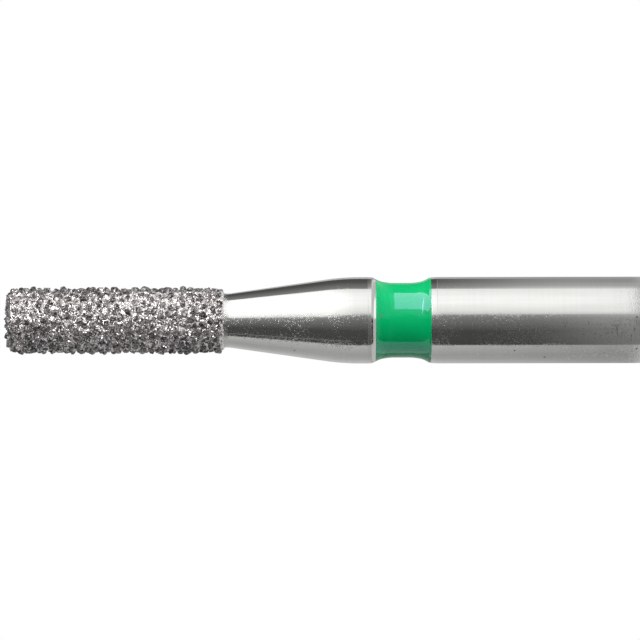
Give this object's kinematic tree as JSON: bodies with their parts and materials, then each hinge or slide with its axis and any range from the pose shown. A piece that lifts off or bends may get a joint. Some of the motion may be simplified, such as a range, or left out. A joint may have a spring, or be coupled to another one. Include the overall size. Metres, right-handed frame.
{
  "type": "dental bur",
  "caption": "Friction-grip dental bur: turned steel shank with a grooved lacquer ring, tapered neck and flat-ended cylindrical head coated with coarse diamond grains.",
  "frame": {"origin": "centre of the flat face at the end of the shank, on the bur's axis", "axes": "+Z along the bur's axis, from the shank's end up to the tip of the diamond head; the bur is round about +Z"},
  "size_m": [0.0016, 0.0016, 0.019],
  "materials": {
    "polished_steel": "polished",
    "green_lacquer": "gloss",
    "plated_nickel": "satin",
    "diamond": "gloss"
  },
  "bodies": {
    "root": {"steel_blank": "polished_steel", "lacquer_ring": "green_lacquer", "nickel_bond": "plated_nickel", "diamond_grains": "diamond"}
  },
  "joints": []
}
